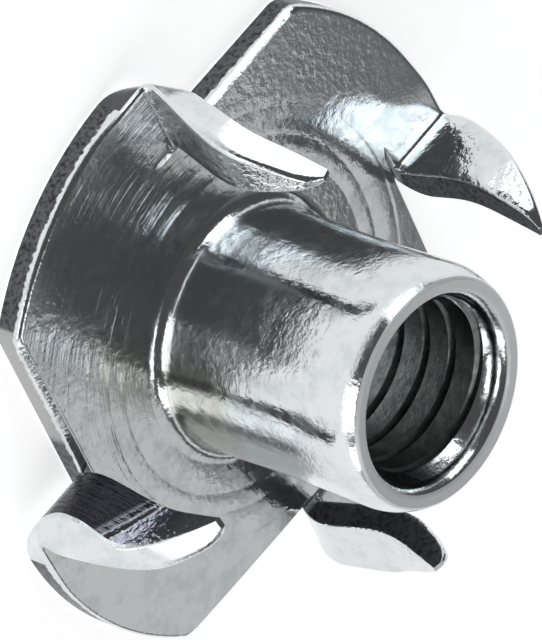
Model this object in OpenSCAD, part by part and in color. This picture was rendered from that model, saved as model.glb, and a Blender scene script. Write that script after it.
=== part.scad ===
// Tee nut (M6): a pinwheel flange with a drawn, threaded barrel and four folded prongs.
// The flange lies on z = 0 and the barrel rises along +Z on the origin.

/* [Flange] */
// Diameter of the round blank that the lobes keep
flange_d = 19; // [17:0.5:24]
// Thickness of the sheet
sheet_t = 1; // [0.8:0.05:1.3]
// Rounding of each lobe's free corner
corner_r = 0.8; // [0.3:0.1:1.2]

/* [Barrel] */
// Outside diameter of the barrel
barrel_d = 7.4; // [7:0.1:8.4]
// Height of the nut, from the underside to the rim
height = 8.5; // [7.5:0.1:12]
// Diameter of the bore inside the crests of the thread
bore_d = 5; // [4.6:0.05:5.3]
// Diameter of the mouth, where the rim's face meets the thread
mouth_d = 6.1; // [5.8:0.05:6.3]
// Outside diameter of the rim's flat face
rim_d = 6.8; // [6.5:0.1:6.9]
// How far the rim's face falls from its outer edge to the mouth
rim_fall = 0.1; // [0.05:0.05:0.2]
// Radius that rounds the barrel over toward the rim
nose_r = 1.75; // [1.3:0.05:2.5]
// Radius between the barrel and the top of the flange
root_r = 0.5; // [0.3:0.1:1]
// Radius of the drawn entry on the underside
entry_r = 1.1; // [0.6:0.1:1.5]

/* [Prongs] */
// Number of prongs, each with its own lobe
prongs = 4; // [3:1:5]
// Distance of each slit from the nut's axis
slit_r = 7.05; // [6.8:0.05:7.4]
// Height of the prongs' tips above the underside
prong_h = 6.45; // [5.8:0.05:7.2]
// How far each prong's outer face stands past the slit's midpoint
prong_out = 1.25; // [0.9:0.05:1.5]
// Inside radius of the fold
fold_r = 0.8; // [0.5:0.05:1]
// How far the fold goes past a right angle, in degrees
over_fold = 16; // [6:1:20]
// Radius that curves the blade back toward upright
blade_r = 8; // [7.5:0.5:20]
// Height that the blunted tip lacks of a sharp one
tip_cut = 0.2; // [0.1:0.05:0.4]
// How much of the sheet the bevel on the inner side of each tip takes
tip_bevel = 0.45; // [0.3:0.05:0.6]
// How far the fold draws in the outer corner of its convex side
fold_draw = 0.6; // [0.2:0.05:0.8]
// Slope of the face that the drawn-in corner makes, in degrees
draw_tilt = 31; // [24:1:40]

/* [Hidden] */
$fn = 72;

flange_r = flange_d / 2;
barrel_r = barrel_d / 2;
bore_r = bore_d / 2;
mouth_r = mouth_d / 2;
rim_r = rim_d / 2;

// The nose is an arc about (nose_x, nose_z) that ends at the rim's outer edge
nose_x = barrel_r - nose_r;
nose_z = height - sqrt(pow(nose_r, 2) - pow(rim_r - nose_x, 2));

// The fold turns about (fold_s, fold_z), measured along the slit and upward
fold_s = prong_out - sheet_t - fold_r;
fold_z = sheet_t + fold_r;
// The blade curves back about a point this far from the fold's own centre
back_arm = fold_r + sheet_t / 2 + blade_r;
back_s = back_arm * cos(over_fold);
back_z = back_arm * sin(over_fold);
// Where the blade's inner side reaches the tip's height, from the fold's centre
tip_z = prong_h - fold_z;
tip_s = back_s - sqrt(pow(blade_r + sheet_t / 2, 2) - pow(tip_z - back_z, 2));
// Slope of the tip's bevel, in degrees
bevel_turn = 50;

// The draw-in is deepest this many degrees before the fold is complete
draw_turn = 20;

// The prong's curved edge is the blank's own edge, folded up with it and a
// little stretched by the fold
edge_stretch = 0.1;
edge_r = flange_r + edge_stretch;
edge_z = prong_h + tip_cut - sqrt(pow(edge_r, 2) - pow(slit_r, 2));

// How far the sheet is drawn past its edge, before the disc trims it
spare = 0.5;
// How far a cutting shape reaches past what it cuts
clear = 1;
// Reach of the shapes that bound the fold and cut its corner
fold_reach = 3 * fold_z;

// The hub that the barrel stands on ends halfway between the root and the slits
hub_r = (barrel_r + root_r + slit_r) / 2;

// Centre of the rounding of a lobe's corner, along the slit and outward
corner_out = slit_r - corner_r;
corner_s = sqrt(pow(flange_r - corner_r, 2) - pow(corner_out, 2));
corner_k = flange_r / (flange_r - corner_r);
slit_end = sqrt(pow(flange_r, 2) - pow(slit_r, 2));

// Half of the section of the barrel and its hub, from the bore outward
module barrel_section() {
    difference() {
        union() {
            translate([bore_r, 0])
                square([hub_r - bore_r, sheet_t]);
            translate([bore_r, 0])
                square([barrel_r - bore_r, nose_z]);
            translate([bore_r, 0])
                square([rim_r - bore_r, height]);
            nose_rounding();
            root_fillet();
        }
        mouth_cut();
        entry_cut();
    }
}

// The quarter turn that rounds the barrel over to the rim's outer edge
module nose_rounding() {
    intersection() {
        translate([nose_x, nose_z])
            circle(nose_r);
        translate([bore_r, nose_z])
            square([barrel_r - bore_r, height - nose_z]);
    }
}

// The blend between the barrel and the flange's top
module root_fillet() {
    difference() {
        translate([barrel_r, sheet_t])
            square(root_r);
        translate([barrel_r + root_r, sheet_t + root_r])
            circle(root_r);
    }
}

// What the rim's sloping face and the mouth's bevel take off the top
module mouth_cut() {
    bevel_z = height - rim_fall - (mouth_r - bore_r);
    polygon([
        [0, height + clear],
        [rim_r, height + clear],
        [rim_r, height],
        [mouth_r, height - rim_fall],
        [bore_r, bevel_z],
        [0, bevel_z],
    ]);
}

// What the rounded entry takes off the underside
module entry_cut() {
    difference() {
        translate([0, -clear])
            square([bore_r + entry_r, entry_r + clear]);
        translate([bore_r + entry_r, entry_r])
            circle(entry_r);
    }
}

module barrel() {
    rotate_extrude()
        barrel_section();
}

// What one slit and its prong leave out of the blank
module slit_cut() {
    translate([fold_s, slit_r])
        square([flange_d, flange_d]);
    difference() {
        polygon([
            [corner_s, slit_r],
            [slit_end + clear, slit_r],
            [corner_s * corner_k + clear, corner_out * corner_k],
            [corner_s * corner_k, corner_out * corner_k],
            [corner_s, corner_out],
        ]);
        translate([corner_s, corner_out])
            circle(corner_r);
    }
}

// The slit sheet, drawn past its round edge, seen from above
module flange_outline() {
    difference() {
        circle(flange_r + spare);
        for (i = [0:prongs - 1])
            rotate(-i * 360 / prongs)
                slit_cut();
        circle(hub_r - spare);
    }
}

module flange() {
    linear_extrude(sheet_t)
        flange_outline();
}

// A ring of the sheet's thickness about a centre, on its middle radius
module sheet_ring(middle_r) {
    difference() {
        circle(middle_r + sheet_t / 2);
        circle(middle_r - sheet_t / 2);
    }
}

// The fold's section: a strip of the lobe and the turn up to the blade
module fold_section() {
    translate([-spare, -fold_z])
        square([spare, sheet_t]);
    intersection() {
        sheet_ring(fold_r + sheet_t / 2);
        translate([0, -fold_reach])
            square([fold_reach, 2 * fold_reach]);
        rotate(over_fold)
            translate([-fold_reach, -fold_reach])
                square([2 * fold_reach, fold_reach]);
    }
}

// The blade's section, curving back from the end of the fold
module blade_section() {
    rotate(over_fold)
        intersection() {
            translate([back_arm, 0])
                sheet_ring(blade_r);
            square(back_arm);
        }
}

// A key inside the sheet, across the joint of the fold and the blade
module key_section() {
    key = sheet_t / 10;
    rotate(over_fold)
        translate([fold_r + key, -key])
            square([sheet_t - 2 * key, 2 * key]);
}

// What the tip's bevel takes off the blade's inner side
module tip_section() {
    translate([tip_s + tip_bevel, tip_z])
        rotate(bevel_turn)
            translate([-2 * sheet_t, 0])
                square(2 * sheet_t);
}

// The prong's section, measured along the slit and upward
module prong_section() {
    translate([fold_s, fold_z])
        difference() {
            union() {
                fold_section();
                key_section();
                blade_section();
            }
            tip_section();
        }
}

// The prong's outline, seen along the slit: the blank's edge, folded up
module prong_outline() {
    intersection() {
        translate([slit_r, 0])
            square([flange_r - slit_r + spare, prong_h]);
        translate([0, edge_z])
            circle(edge_r);
    }
}

// One prong, running outward from its slit at the flange's +Y side
module prong() {
    intersection() {
        translate([0, flange_r + spare, 0])
            rotate([90, 0, 0])
                linear_extrude(flange_r + spare - slit_r)
                    prong_section();
        translate([-flange_r / 2, 0, 0])
            rotate([90, 0, 90])
                linear_extrude(flange_r)
                    prong_outline();
    }
}

// What the fold draws in at the outer corner of its convex side
module fold_cut() {
    translate([fold_s, flange_r - fold_draw, fold_z])
        rotate([0, draw_turn, 0])
            translate([fold_r + sheet_t, 0, 0])
                rotate([0, 0, -draw_tilt])
                    translate([-fold_reach, 0, -fold_reach])
                        cube([fold_reach + clear, fold_reach, 2 * fold_reach]);
}

// The flange and its prongs, with the blank's round edge
module pinwheel() {
    difference() {
        intersection() {
            union() {
                flange();
                for (i = [0:prongs - 1])
                    rotate(-i * 360 / prongs)
                        prong();
            }
            cylinder(r = flange_r, h = prong_h);
        }
        for (i = [0:prongs - 1])
            rotate(-i * 360 / prongs)
                fold_cut();
    }
}

module tee_nut() {
    color("silver") {
        pinwheel();
        barrel();
    }
}

tee_nut();
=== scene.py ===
"""Dresses the tee nut: a tapped barrel drawn from a pinwheel flange with four folded prongs."""
import logging
import math
from contextlib import contextmanager
from dataclasses import dataclass, field
from enum import Enum
from typing import Callable, Iterator

import bmesh
import bpy
from mathutils import Matrix, Vector


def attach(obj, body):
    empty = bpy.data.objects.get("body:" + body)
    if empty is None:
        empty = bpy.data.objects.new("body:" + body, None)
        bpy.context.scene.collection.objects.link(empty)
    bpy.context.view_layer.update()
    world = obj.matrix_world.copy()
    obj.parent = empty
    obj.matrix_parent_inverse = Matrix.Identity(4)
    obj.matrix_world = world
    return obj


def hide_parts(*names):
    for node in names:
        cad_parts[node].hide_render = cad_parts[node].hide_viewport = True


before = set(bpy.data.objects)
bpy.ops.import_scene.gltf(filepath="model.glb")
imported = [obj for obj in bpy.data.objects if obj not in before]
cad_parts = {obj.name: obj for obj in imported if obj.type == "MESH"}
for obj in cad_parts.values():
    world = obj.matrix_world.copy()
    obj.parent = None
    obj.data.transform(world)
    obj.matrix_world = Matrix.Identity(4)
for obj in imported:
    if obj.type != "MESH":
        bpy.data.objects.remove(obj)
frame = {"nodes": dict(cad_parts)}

LOG = logging.getLogger("tee_nut")
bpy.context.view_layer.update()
NODE = "tee_nut"

# The nut is modelled with one unit to the millimetre, and scaled once at the end.
MM = 0.001
WELD = 0.0005

# The colour of the clean plate.
ZINC = (0.725, 0.755, 0.765)

Place = Callable[[int, int], Vector]
Colour = tuple[float, float, float]


# --------------------------------------------------------------------------- bench tools


def activate(piece: bpy.types.Object) -> None:
    """Make a piece the only selected object, and the active one.

    Args:
        piece: The object to work on.
    """
    bpy.ops.object.select_all(action="DESELECT")
    piece.select_set(True)
    bpy.context.view_layer.objects.active = piece


@contextmanager
def editing(piece: bpy.types.Object, kind: str = "VERT") -> Iterator[None]:
    """Hold a piece in edit mode for the length of a with block.

    Args:
        piece: The object to edit.
        kind: What is selected there: VERT, EDGE or FACE.

    Yields:
        Nothing, and takes the piece out of edit mode when the block ends.
    """
    activate(piece)
    bpy.ops.object.mode_set(mode="EDIT")
    bpy.ops.mesh.select_mode(type=kind)
    try:
        yield
    finally:
        bpy.ops.object.mode_set(mode="OBJECT")


def weld(piece: bpy.types.Object, distance: float = WELD) -> None:
    """Merge the doubled vertices of a piece and point its faces outwards.

    Args:
        piece: The object to weld.
        distance: How near two vertices lie to be one, in millimetres.
    """
    with editing(piece):
        bpy.ops.mesh.select_all(action="SELECT")
        bpy.ops.mesh.remove_doubles(threshold=distance)
        bpy.ops.mesh.dissolve_degenerate(threshold=distance / 10)
        bpy.ops.mesh.select_all(action="SELECT")
        bpy.ops.mesh.normals_make_consistent(inside=False)


def join(pieces: list[bpy.types.Object], name: str) -> bpy.types.Object:
    """Join several objects into the first of them.

    Args:
        pieces: The objects to join.
        name: The name of the result.

    Returns:
        The joined object.
    """
    activate(pieces[0])
    for piece in pieces[1:]:
        piece.select_set(True)
    bpy.ops.object.join()
    pieces[0].name = name
    return pieces[0]


def open_edges(piece: bpy.types.Object) -> int:
    """Count the edges of a piece that don't carry exactly two faces.

    Args:
        piece: The object to look at.

    Returns:
        How many such edges there are.
    """
    shell = bmesh.new()
    shell.from_mesh(piece.data)
    count = sum(1 for edge in shell.edges if len(edge.link_faces) != 2)
    shell.free()
    return count


class Surface(Enum):
    """The nut's surfaces, in the order of its material slots."""

    PLATED = 0
    ROLLED = 1
    SHEARED = 2
    DRAWN = 3
    TAPPED = 4


def line_surfaces(piece: bpy.types.Object) -> None:
    """Give a piece one empty material slot for each surface.

    Args:
        piece: The object that gets the slots.
    """
    piece.data.materials.clear()
    for surface in Surface:
        name = surface.name.lower()
        piece.data.materials.append(bpy.data.materials.get(name) or bpy.data.materials.new(name))


def laid_grid(
    name: str,
    columns: int,
    rows: int,
    place: Place,
    finish: Callable[[int, int], Surface] = lambda column, row: Surface.PLATED,
) -> bpy.types.Object:
    """Add a grid and lay each of its vertices in its place.

    Args:
        name: The name of the new object.
        columns: Faces along the grid's first side.
        rows: Faces along its second side.
        place: Gives the place of the vertex at a column and a row.
        finish: Gives the surface of the face at a column and a row.

    Returns:
        The new object.
    """
    bpy.ops.object.select_all(action="DESELECT")
    bpy.ops.mesh.primitive_grid_add(x_subdivisions=columns, y_subdivisions=rows, size=2)
    piece = bpy.context.object
    piece.name = name
    line_surfaces(piece)
    for face in piece.data.polygons:
        column = math.floor((face.center.x + 1) / 2 * columns)
        row = math.floor((face.center.y + 1) / 2 * rows)
        face.material_index = finish(column, row).value
    for vertex in piece.data.vertices:
        column = round((vertex.co.x + 1) / 2 * columns)
        row = round((vertex.co.y + 1) / 2 * rows)
        vertex.co = place(column, row)
    return piece


def clamped(share: float) -> float:
    """Return a share kept between 0 and 1."""
    return min(max(share, 0.0), 1.0)


def eased(share: float) -> float:
    """Ease a share from 0 to 1, level at both ends."""
    t = clamped(share)
    return t * t * (3 - 2 * t)


def mixed(a: float, b: float, share: float) -> float:
    """Return the value that lies at a share of the way from a to b."""
    return a + (b - a) * share


def polar(angle: float) -> Vector:
    """Return the flat unit vector at an angle, in radians from the first axis."""
    return Vector((math.cos(angle), math.sin(angle)))


def direction(azimuth: float, elevation: float) -> Vector:
    """Return the unit vector toward an azimuth and an elevation.

    Args:
        azimuth: From +X toward +Y, in degrees.
        elevation: Up from the floor, in degrees.

    Returns:
        The direction from the nut.
    """
    rise = math.radians(elevation)
    level = polar(math.radians(azimuth)) * math.cos(rise)
    return Vector((level.x, level.y, math.sin(rise)))


# --------------------------------------------------------------------------- the sheet


class Side(Enum):
    """The two sides of the sheet: TOP bears the barrel, BACK lies on the table."""

    TOP = 0
    BACK = 1


@dataclass
class Rounding:
    """How the shear leaves one edge of the sheet, in millimetres.

    Attributes:
        width: How far the rounding reaches in from the edge.
        depth: How far the edge itself drops.
        flat: How much of it is a flat slope, where 0 is a round edge.
        lip: Share of the width that the flat slope leaves level.
    """

    width: float
    depth: float
    flat: float = 0.0
    lip: float = 0.06

    def drop(self, inset: float) -> float:
        """Return how far the sheet's surface drops near its edge.

        Args:
            inset: The distance in from the edge.

        Returns:
            The drop, which is the whole depth at the edge.
        """
        near = 1 - clamped(inset / self.width)
        slope = max(near - self.lip, 0.0) / (1 - self.lip)
        return self.depth * mixed(1 - math.sqrt(1 - near * near), slope, self.flat)


@dataclass
class PinwheelSheet:
    """The flange's lobes and their prongs: one sheet, slit and folded, in millimetres.

    It is laid out in one quarter, with the prong at the +Y side and its lobe round
    toward -X, and turned about the axis for the others.

    Attributes:
        flange_r: Radius of the round blank that the lobes keep.
        thick: Thickness of the sheet.
        hub_r: Radius of the ring where the lobes meet the barrel's hub.
        slit_r: Distance of each slit from the axis.
        corner_r: Rounding of each lobe's free corner.
        fold_s: Where the fold starts, measured along the slit.
        fold_r: Inside radius of the fold as a whole.
        fold_turn: How far the fold turns, in degrees.
        crease_r: Radius of the tight crease on the fold's inner side.
        blade: Length of the blade along its middle.
        blade_turn: How far the blade bends back, in degrees.
        bend_low: Share of the blade at which that bend starts.
        bend_high: Share of the blade at which it ends.
        edge_r: Radius of the prong's curved edge.
        edge_z: Height of that curve's centre.
        draw_in: How far the fold draws in the edge of its outer side.
        draw_reach: How far the draw-in reaches, in lengths of the fold.
        bulge: How far the fold squeezes out the edge of its inner side.
        bulge_reach: How far the bulge reaches, in lengths of the fold.
        facet_low: Share of the blade from which its inner side slopes off.
        facet_drop: How far that side has dropped at the tip.
        tip_reach: How far the rounding of the tip reaches down.
        tip_drop: How much of the sheet that rounding takes.
        tip_power: How suddenly it falls off toward the tip.
        thin_slope: Slope with which a lobe thins toward its edge.
        thin_fold: How far from the fold the thinning starts.
        thin_notch: How far from the end of the next slit it starts.
        lobes: Number of lobes, each with its prong.
        arc_columns: Faces along a lobe's arc.
        corner_columns: Faces round its corner.
        slit_columns: Faces along its slit.
        fold_steps: Faces along the fold.
        blade_steps: Faces along the blade.
        tear_steps: Faces of the fold over which its torn edge grows.
        fold_columns: Columns of a lobe over which its rows leave those of the fold.
        middle_rows: Faces across the sheet between its edge strips.
        wall_rows: Faces through the thickness of the sheet.
        slit_insets: Distances of the rows in from the slit's edge.
        edge_insets: Distances of the rows in from the outer edge, inmost first.
        strip_share: The most of a narrow prong that its edge strips take.
        rolled: The round edge of the blank.
        slit: The edge of a lobe along the slit.
        torn: The edge of a prong along the slit.
        burr: The edges of the sheet's back.
    """

    flange_r: float = 9.5
    thick: float = 1.0
    hub_r: float = 6.7
    slit_r: float = 7.05
    corner_r: float = 0.8
    fold_s: float = -0.55
    fold_r: float = 0.8
    fold_turn: float = 106.0
    crease_r: float = 0.17
    blade: float = 4.41
    blade_turn: float = 31.2
    bend_low: float = 0.13
    bend_high: float = 0.73
    edge_r: float = 9.6
    edge_z: float = 0.134
    draw_in: float = 0.58
    draw_reach: float = 1.6
    bulge: float = 0.12
    bulge_reach: float = 1.6
    facet_low: float = 0.55
    facet_drop: float = 0.26
    tip_reach: float = 0.9
    tip_drop: float = 0.4
    tip_power: float = 2.5
    thin_slope: float = 0.05
    thin_fold: float = 1.5
    thin_notch: float = 0.8
    lobes: int = 4
    arc_columns: int = 22
    corner_columns: int = 7
    slit_columns: int = 19
    fold_steps: int = 16
    blade_steps: int = 24
    tear_steps: int = 5
    fold_columns: int = 4
    middle_rows: int = 8
    wall_rows: int = 5
    slit_insets: tuple[float, ...] = (0.0, 0.02, 0.05, 0.1)
    edge_insets: tuple[float, ...] = (0.2, 0.155, 0.105, 0.06, 0.02, 0.0)
    strip_share: float = 0.8
    rolled: Rounding = field(default_factory=lambda: Rounding(0.17, 0.14))
    slit: Rounding = field(default_factory=lambda: Rounding(0.16, 0.2, 0.8))
    torn: Rounding = field(default_factory=lambda: Rounding(0.16, 0.12))
    burr: Rounding = field(default_factory=lambda: Rounding(0.06, 0.03))

    def __post_init__(self) -> None:
        """Work out the counts and centres that follow from the sizes."""
        self.columns = self.arc_columns + self.corner_columns + self.slit_columns
        self.steps = self.fold_steps + self.blade_steps
        self.rows = len(self.slit_insets) + self.middle_rows + len(self.edge_insets) - 2
        self.fold_z = self.thick + self.fold_r
        self.spine = self.blade_spine()
        self.notch_turn = math.atan2(-self.fold_s, self.slit_r)
        reach = self.flange_r - self.corner_r
        self.corner_out = self.slit_r - self.corner_r
        self.corner_s = math.sqrt(reach**2 - self.corner_out**2)

    # -- the lobe, seen from above

    def hub_point(self, column: int) -> Vector:
        """Return the point on the hub's ring where a column of the lobe starts."""
        turn = math.pi / 2 + self.notch_turn + column / self.columns * math.tau / self.lobes
        return polar(turn) * self.hub_r

    def rim_point(self, column: int) -> tuple[Vector, Vector]:
        """Return where a column ends on a lobe's outline.

        Args:
            column: 0 at the fold, and the last at the next prong's slit.

        Returns:
            The point, and the outline's outward normal there.
        """
        fold_end = Vector((self.fold_s, math.sqrt(self.flange_r**2 - self.fold_s**2)))
        if column == 0:
            return fold_end, Vector((0, 1))
        centre = Vector((-self.corner_out, self.corner_s))
        start, turn = fold_end.angle(Vector((1, 0))), centre.angle(Vector((1, 0)))
        if column <= self.arc_columns:
            normal = polar(mixed(start, turn, column / self.arc_columns))
            return normal * self.flange_r, normal
        column -= self.arc_columns
        if column <= self.corner_columns:
            normal = polar(mixed(turn, math.pi, column / self.corner_columns))
            return centre + normal * self.corner_r, normal
        share = (column - self.corner_columns) / self.slit_columns
        return Vector((-self.slit_r, mixed(self.corner_s, self.fold_s, share))), Vector((-1, 0))

    def lobe_rounding(self, column: int) -> Rounding:
        """Return the rounding of a lobe's edge: rolled on the arc, sheared along the slit.

        Args:
            column: The column of the lobe that ends there.

        Returns:
            The rounding, blended round the corner.
        """
        share = eased((column - self.arc_columns) / self.corner_columns)
        return Rounding(
            mixed(self.rolled.width, self.slit.width, share),
            mixed(self.rolled.depth, self.slit.depth, share),
            mixed(self.rolled.flat, self.slit.flat, share),
        )

    def lobe_place(self, side: Side) -> Place:
        """Give the lay-out of a lobe's grid on one side of the sheet.

        Args:
            side: The side to lay out.

        Returns:
            The place of the vertex at a column round the lobe and a row outward.
        """
        fold_rows = self.row_places(Side.TOP, 0)
        edge_row = self.rows + 1 - (len(self.edge_insets) - 1)
        hub_out = self.hub_point(0).y
        notch = Vector((-self.slit_r, self.fold_s))

        def place(column: int, row: int) -> Vector:
            """Place one vertex of the lobe.

            Args:
                column: Its column round the lobe.
                row: Its row outward.

            Returns:
                The place.
            """
            hub = self.hub_point(column)
            rim, normal = self.rim_point(column)
            inset = 0.0
            if row == 0:
                flat = hub
            elif column == self.columns:
                flat = rim
            elif column == 0:
                flat = Vector((self.fold_s, fold_rows[row - 1]))
                inset = rim.y - flat.y
            elif row >= edge_row:
                inset = self.edge_insets[row - edge_row]
                flat = rim - normal * inset
            else:
                inset = self.edge_insets[0]
                at_fold = (fold_rows[row - 1] - hub_out) / (fold_rows[edge_row - 1] - hub_out)
                share = mixed(row / edge_row, at_fold, math.exp(-column / self.fold_columns))
                flat = hub.lerp(rim - normal * inset, share)
            drop = 0.0
            if row >= edge_row and column < self.columns:
                rounding = self.lobe_rounding(column) if side is Side.TOP else self.burr
                drop = rounding.drop(inset)
            if side is Side.TOP:
                lean = self.thin_slope * max(flat.length - self.hub_r, 0.0)
                lean *= eased((self.fold_s - flat.x) / self.thin_fold)
                lean *= eased((flat - notch).length / self.thin_notch)
                return Vector((flat.x, flat.y, self.thick - drop - lean))
            return Vector((flat.x, flat.y, drop))

        return place

    # -- the prong, along its fold and its blade

    def blade_spine(self, fine: int = 12) -> list[tuple[Vector, Vector]]:
        """Work out the middle line of the blade, from the fold to the tip.

        Args:
            fine: Into how many lengths each step is cut to follow the bend.

        Returns:
            The point at each step, and the normal of the blade's top side there.
        """
        out = self.fold_out(1.0)
        point = Vector((self.fold_s, self.fold_z)) + out * (self.fold_r + self.thick / 2)
        spine = [(point.copy(), -out)]
        count = self.blade_steps * fine
        for index in range(1, count + 1):
            share = ((index - 0.5) / count - self.bend_low) / (self.bend_high - self.bend_low)
            angle = math.radians(self.fold_turn - self.blade_turn * eased(share))
            point = point + polar(angle) * self.blade / count
            if index % fine == 0:
                spine.append((point.copy(), polar(angle).orthogonal()))
        return spine

    def fold_out(self, share: float) -> Vector:
        """Return the fold's outward direction at a share of its turn."""
        angle = math.radians(self.fold_turn) * share
        return Vector((math.sin(angle), -math.cos(angle)))

    def crease(self, step: int) -> tuple[Vector, Vector]:
        """Return a point of the fold's tight inner side.

        A quarter of the steps leads flat up to the crease, and another one away from it.

        Args:
            step: 0 at the fold's start, fold_steps at its end.

        Returns:
            The point and the normal there.
        """
        turn = math.radians(self.fold_turn)
        flat = (self.fold_r - self.crease_r) * math.tan(turn / 2)
        quarter = 4 * step / self.fold_steps
        out = self.fold_out(clamped((quarter - 1) / 2))
        point = Vector((self.fold_s + flat, self.thick + self.crease_r)) + out * self.crease_r
        point.x -= flat * clamped(1 - quarter)
        point += polar(turn) * flat * clamped(quarter - 3)
        return point, -out

    def section(self, side: Side, step: int) -> tuple[Vector, Vector]:
        """Return a point of the prong's section and the normal of its top side.

        Args:
            side: The side of the sheet.
            step: 0 at the fold's start, growing to the blade's tip.

        Returns:
            The point and the normal, measured along the slit and upward.
        """
        if step > self.fold_steps:
            middle, normal = self.spine[step - self.fold_steps]
            half = self.thick / 2 if side is Side.TOP else -self.thick / 2
            return middle + normal * half, normal
        if side is Side.TOP:
            return self.crease(step)
        out = self.fold_out(step / self.fold_steps)
        return Vector((self.fold_s, self.fold_z)) + out * (self.fold_r + self.thick), -out

    def edge_out(self, side: Side, step: int) -> float:
        """Return how far from the axis the prong's curved edge lies.

        Args:
            side: The side of the sheet.
            step: The step along the prong.

        Returns:
            The distance, with what the fold squeezes out or draws in.
        """
        middle = (self.section(Side.TOP, step)[0] + self.section(Side.BACK, step)[0]) / 2
        arc = math.sqrt(self.edge_r**2 - (middle.y - self.edge_z) ** 2)
        disc = math.sqrt(self.flange_r**2 - middle.x**2)
        change, reach = self.bulge, self.bulge_reach
        if side is Side.BACK:
            change, reach = -self.draw_in, self.draw_reach
        share = min(step / (self.fold_steps * reach), 1.0)
        return min(arc, disc) + change * math.sin(math.pi * share) ** 2

    def row_places(self, side: Side, step: int) -> list[float]:
        """Return how far from the axis each row of the prong lies.

        Args:
            side: The side of the sheet.
            step: The step along the prong.

        Returns:
            The distances, from the slit outward.
        """
        if step == 0:
            edge = math.sqrt(self.flange_r**2 - self.fold_s**2)
        else:
            edge = self.edge_out(side, step)
        width = edge - self.slit_r
        strips = self.slit_insets[-1] + self.edge_insets[0]
        squeeze = min(1.0, self.strip_share * width / strips)
        slit_side = [self.slit_r + inset * squeeze for inset in self.slit_insets]
        edge_side = [edge - inset * squeeze for inset in self.edge_insets]
        middle = [
            mixed(slit_side[-1], edge_side[0], (row + 1) / self.middle_rows)
            for row in range(self.middle_rows - 1)
        ]
        return slit_side + middle + edge_side

    def prong_place(self, side: Side) -> Place:
        """Give the lay-out of a prong's grid on one side of the sheet.

        Args:
            side: The side to lay out.

        Returns:
            The place of the vertex at a step along the prong and a row outward.
        """
        slit_count = len(self.slit_insets)
        edge_row = self.rows - (len(self.edge_insets) - 1)
        tip = self.spine[-1][0].y

        def place(step: int, row: int) -> Vector:
            """Place one vertex of the prong.

            Args:
                step: Its step along the prong.
                row: Its row outward.

            Returns:
                The place.
            """
            point, normal = self.section(side, step)
            outs = self.row_places(side, step)
            if side is Side.TOP:
                along = (step - self.fold_steps) / self.blade_steps - self.facet_low
                if along > 0:
                    point -= normal * self.facet_drop * along / (1 - self.facet_low)
                    near = 1 - clamped((tip - point.y) / self.tip_reach)
                    round_off = 1 - math.sqrt(1 - near**self.tip_power)
                    point -= normal * self.tip_drop * round_off
            squeeze = (outs[slit_count - 1] - outs[0]) / self.slit_insets[-1]
            drop = 0.0
            if row < slit_count:
                growth = eased(step / self.tear_steps) * squeeze
                rounding = self.torn if side is Side.TOP else self.burr
                drop = rounding.drop(self.slit_insets[row]) * growth
            elif row >= edge_row:
                rounding = self.rolled if side is Side.TOP else self.burr
                drop = rounding.drop(self.edge_insets[row - edge_row]) * squeeze
            point = point - normal * drop if side is Side.TOP else point + normal * drop
            return Vector((point.x, outs[row], point.y))

        return place

    # -- the sheared wall that joins the two sides

    def wall_path(self) -> list[tuple[bool, int, int]]:
        """Trace the outline of a quarter, from the slit round the prong and the lobe.

        Returns:
            Places on the grids: whether on the prong's, the column and the row.
        """
        path = [(True, step, 0) for step in range(self.steps)]
        path += [(True, self.steps, row) for row in range(self.rows)]
        path += [(True, step, self.rows) for step in range(self.steps, 0, -1)]
        path += [(False, column, self.rows + 1) for column in range(self.columns + 1)]
        return path

    def wall_place(self) -> Place:
        """Give the lay-out of the wall between the sheet's two sides.

        Returns:
            The place of the vertex at a column along the outline and a row downward.
        """
        path = self.wall_path()
        prong = {side: self.prong_place(side) for side in Side}
        lobe = {side: self.lobe_place(side) for side in Side}

        def place(column: int, row: int) -> Vector:
            """Place one vertex of the wall.

            Args:
                column: Its column along the outline.
                row: Its row downward.

            Returns:
                The place.
            """
            on_prong, first, second = path[column]
            ends = [(prong if on_prong else lobe)[side](first, second) for side in Side]
            return ends[0].lerp(ends[1], row / self.wall_rows)

        return place

    def wall_surface(self, column: int, row: int) -> Surface:
        """Return how the wall is finished: drawn smooth along the prong's arc and its tip.

        Args:
            column: The column along the outline.
            row: The row downward, which is not used.

        Returns:
            The surface of the face there.
        """
        on_prong, along, across = self.wall_path()[column]
        drawn = on_prong and (across == self.rows or along == self.steps)
        return Surface.DRAWN if drawn else Surface.SHEARED

    def lobe_surface(self, column: int, row: int) -> Surface:
        """Return how a lobe is finished: rolled over near its edge."""
        return Surface.ROLLED if row >= self.rows + 2 - len(self.edge_insets) else Surface.PLATED

    def prong_surface(self, column: int, row: int) -> Surface:
        """Return how a prong is finished: rolled over near its curved edge."""
        return Surface.ROLLED if row > self.rows - len(self.edge_insets) else Surface.PLATED

    def quarter(self) -> bpy.types.Object:
        """Model one lobe with its prong.

        Returns:
            The quarter, open along the hub's ring and along the next quarters.
        """
        lobe = (self.columns, self.rows + 1)
        prong = (self.steps, self.rows)
        wall = (len(self.wall_path()) - 1, self.wall_rows)
        parts = []
        for side in Side:
            name = side.name.lower()
            parts += [
                laid_grid(f"lobe_{name}", *lobe, self.lobe_place(side), self.lobe_surface),
                laid_grid(f"prong_{name}", *prong, self.prong_place(side), self.prong_surface),
            ]
        parts.append(laid_grid("wall", *wall, self.wall_place(), self.wall_surface))
        return join(parts, "quarter")

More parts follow.
